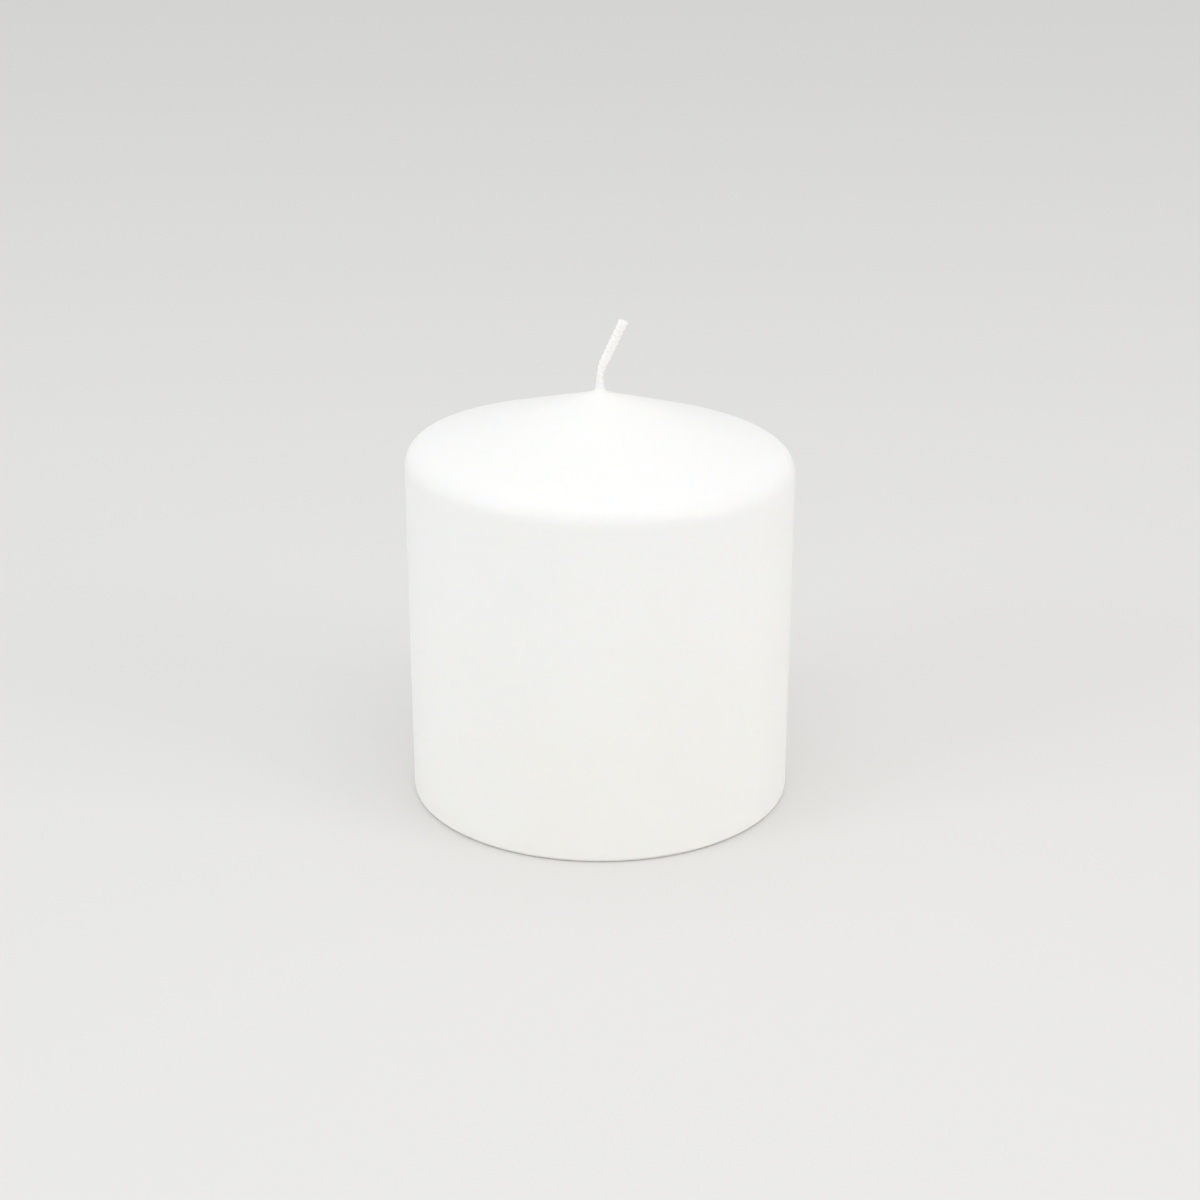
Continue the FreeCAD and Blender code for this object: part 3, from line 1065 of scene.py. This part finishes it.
@dataclass
class WickSet:
    """The plaited wick with its fuzz, and the sustainer crimped to its foot."""

    collar_top: float
    lean: float = math.radians(25.0)
    bend_radius: float = 8 * MM
    pitch: float = 3.0 * MM
    lay: float = 5.5 * MM
    strands: int = 3
    yarns: int = 6
    yarn_radius: float = 0.135 * MM
    strand_radius: float = 0.22 * MM
    turn: float = math.radians(62.0)
    film_inset_wide: float = 0.07 * MM
    film_inset_flat: float = 0.06 * MM
    step: float = 0.16 * MM
    tip_pull: float = 0.45
    route_steps: int = 24

    def __post_init__(self) -> None:
        """Read the wick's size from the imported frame, and work out its bend and tip."""
        low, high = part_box("wick")
        self.foot = low.z
        self.half_depth = high.y
        self.half_width = -low.x
        self.bend_height = self.collar_top + self.bend_radius * math.tan(self.lean / 2)
        top = high.z - self.half_width * math.sin(self.lean)
        self.tip = Vector(((top - self.bend_height) * math.tan(self.lean), 0.0, top))
        self.cotton = CottonFinish(
            "waxed_cotton", dry=(0.96, 0.955, 0.94), waxed=(0.94, 0.93, 0.9),
            soaked_below=self.collar_top - 1 * MM, dry_above=self.collar_top + 4 * MM,
        ).material()

    def build(self) -> list[bpy.types.Object]:
        """Make the wick and its fuzz, and give the sustainer its finish.

        Returns:
            The pieces.
        """
        wick = self._plait()
        return [wick, self._fuzz(wick), self._sustainer()]

    def _route(self) -> bpy.types.Mesh:
        """Draw the wick's own line: up the bore, over one soft bend and on to the tip.

        Returns:
            The line, as a chain of edges.
        """
        pull = self.tip_pull
        points = [
            Vector((0.0, 0.0, self.foot)),
            Vector((0.0, 0.0, self.collar_top / 2)),
            Vector((0.0, 0.0, self.collar_top - 1 * MM)),
            Vector((0.0, 0.0, self.bend_height)),
            Vector((pull * self.tip.x, 0.0, (1 - pull) * self.bend_height + pull * self.tip.z)),
            self.tip,
        ]
        data = bpy.data.curves.new("wick_route", "CURVE")
        data.dimensions = "3D"
        data.resolution_u = self.route_steps
        spline = data.splines.new("NURBS")
        spline.points.add(len(points) - 1)
        for control, point in zip(spline.points, points):
            control.co = (*point, 1.0)
        spline.order_u = 3
        spline.use_endpoint_u = True
        line = bpy.data.objects.new("wick_route", data)
        mesh = bpy.data.meshes.new_from_object(line)
        bpy.data.objects.remove(line)
        return mesh

    def _plait(self) -> bpy.types.Object:
        """Make the plait of cotton yarns.

        Returns:
            The wick.
        """
        strand = self.strand_radius + self.yarn_radius
        buried = self.collar_top - self.foot
        wick = Plait().make(
            "plaited_wick",
            self._route(),
            step=self.step,
            strands=self.strands,
            yarns=self.yarns,
            pitch=self.pitch,
            lay=self.lay,
            wide_swing=self.half_depth - strand,
            flat_swing=self.half_width - strand,
            strand_radius=self.strand_radius,
            yarn_radius=self.yarn_radius,
            film_wide=self.half_depth - self.film_inset_wide,
            film_flat=self.half_width - self.film_inset_flat,
            film_cut=0.35 * MM,
            fray=0.3,
            fray_length=1.0 * MM,
            uneven_ends=0.5 * MM,
            turn=self.turn,
            turn_start=buried + 0.5 * MM,
            turn_end=buried + 5 * MM,
            finish=self.cotton,
        )
        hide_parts("wick")
        return wick

    def _fuzz(self, wick: bpy.types.Object) -> bpy.types.Object:
        """Make the stray fibres on the bare part of the wick.

        Args:
            wick: the plait that they grow on.

        Returns:
            The fibres.
        """
        fuzz = Fuzz().make(
            "wick_fuzz",
            wick.data.copy(),
            above=self.collar_top + 1 * MM,
            density=1.6e6,
            seed=8,
            fibre_length=0.5 * MM,
            fibre_radius=0.01 * MM,
            finish=self.cotton,
        )
        return fuzz

    def _sustainer(self) -> bpy.types.Object:
        """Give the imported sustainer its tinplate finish.

        Returns:
            The sustainer.
        """
        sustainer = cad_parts["wick_sustainer"]
        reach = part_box("wick_sustainer")[1].x
        tin = TinplateFinish(
            "tinplate", bright=(0.82, 0.81, 0.78), dull=(0.6, 0.59, 0.57),
            smear=(0.86, 0.84, 0.78), clean_reach=0.3 * reach, rim_reach=0.8 * reach,
        ).material()
        for holder in sustainer.material_slots:
            holder.material = tin
        return sustainer


# ---- studio ----


@dataclass(frozen=True)
class SoftBox:
    """A soft square lamp."""

    name: str
    place: Vector
    side: float
    power: float
    tint: Colour

    def hang(self, target: Vector) -> None:
        """Hang the lamp.

        Args:
            target: where it points.
        """
        data = bpy.data.lights.new(self.name, "AREA")
        data.shape = "SQUARE"
        data.size = self.side
        data.energy = self.power
        data.color = self.tint
        lamp = bpy.data.objects.new(self.name, data)
        lamp.location = self.place
        lamp.rotation_euler = (target - self.place).to_track_quat("-Z", "Y").to_euler()
        bpy.context.scene.collection.objects.link(lamp)


@dataclass
class Studio:
    """A pale table, soft light from all round and a camera a little above the candle."""

    elevation: float = math.radians(21.0)
    distance: float = 0.4124
    aim_height: float = 0.036
    lens: float = 67.2
    sensor: float = 36.0
    sky: Colour = (0.99, 0.995, 1.0)
    sky_strength: float = 0.815
    table_reach: float = 8.0
    table_sides: int = 96
    table_tone: Colour = (0.775, 0.768, 0.755)
    gap: float = 0.02 * MM

    def build(self) -> None:
        """Set up the table, the light and the camera."""
        self._table()
        self._sky()
        target = Vector((0.0, 0.0, self.aim_height))
        cool, warm = (0.94, 0.975, 1.0), (1.0, 0.965, 0.91)
        for lamp in (
            SoftBox("top_softbox", Vector((0.0, 0.1, 1.1)), side=0.9, power=0.7, tint=WHITE),
            SoftBox("key_softbox", Vector((0.02, -0.18, 0.4)), side=0.3, power=0.2, tint=WHITE),
            SoftBox("left_fill", Vector((-1.0, -0.55, 0.5)), side=0.6, power=2.15, tint=cool),
            SoftBox("right_fill", Vector((1.0, -0.55, 0.5)), side=0.6, power=2.15, tint=warm),
        ):
            lamp.hang(target)
        self._camera(target)
        bpy.context.scene.view_settings.view_transform = "Standard"

    def _table(self) -> None:
        """Lay the table top as one large disc."""
        data = bpy.data.meshes.new("table")
        count, reach = self.table_sides, self.table_reach
        angles = [2 * math.pi * index / count for index in range(count)]
        ring = [(reach * math.cos(angle), reach * math.sin(angle), -self.gap) for angle in angles]
        data.from_pydata(ring, [], [list(range(count))])
        table = bpy.data.objects.new("table", data)
        data.materials.append(TableFinish("pale_table", self.table_tone).material())
        bpy.context.scene.collection.objects.link(table)

    def _sky(self) -> None:
        """Light the scene evenly from all round."""
        world = bpy.data.worlds.new("studio_light")
        world.use_nodes = True
        background = next(node for node in world.node_tree.nodes if node.type == "BACKGROUND")
        background.inputs["Color"].default_value = (*self.sky, 1.0)
        background.inputs["Strength"].default_value = self.sky_strength
        bpy.context.scene.world = world

    def _camera(self, target: Vector) -> None:
        """Stand the camera in front of the candle, looking down a little.

        Args:
            target: the middle of its view.
        """
        data = bpy.data.cameras.new("camera")
        data.lens = self.lens
        data.sensor_width = self.sensor
        data.clip_start = 1 * MM
        camera = bpy.data.objects.new("camera", data)
        back = Vector((0.0, -math.cos(self.elevation), math.sin(self.elevation)))
        camera.location = target + self.distance * back
        camera.rotation_euler = (math.pi / 2 - self.elevation, 0.0, 0.0)
        bpy.context.scene.collection.objects.link(camera)
        bpy.context.scene.camera = camera


# ---- main ----


def describe(piece: bpy.types.Object) -> str:
    """Describe a piece for the log.

    Args:
        piece: the piece.

    Returns:
        Its name, triangles and volume, which is positive if its faces look out.
    """
    mesh = piece.data
    triangles, volume = 0, 0.0
    for face in mesh.polygons:
        first, *others = (mesh.vertices[index].co for index in face.vertices)
        triangles += len(others) - 1
        for second, third in zip(others, others[1:]):
            volume += first.dot(second.cross(third)) / 6
    return f"{piece.name}: {triangles} triangles, {volume / MM ** 3:.2f} cubic millimetres"


def main() -> None:
    """Build the candle and its studio."""
    logging.basicConfig(level=logging.INFO, format="%(name)s: %(message)s")
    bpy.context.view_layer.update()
    wax = WaxBody()
    wick = WickSet(wax.collar_top)
    for piece in wax.build() + wick.build():
        LOG.info(describe(piece))
    Studio().build()


if __name__ == "__main__":
    main()
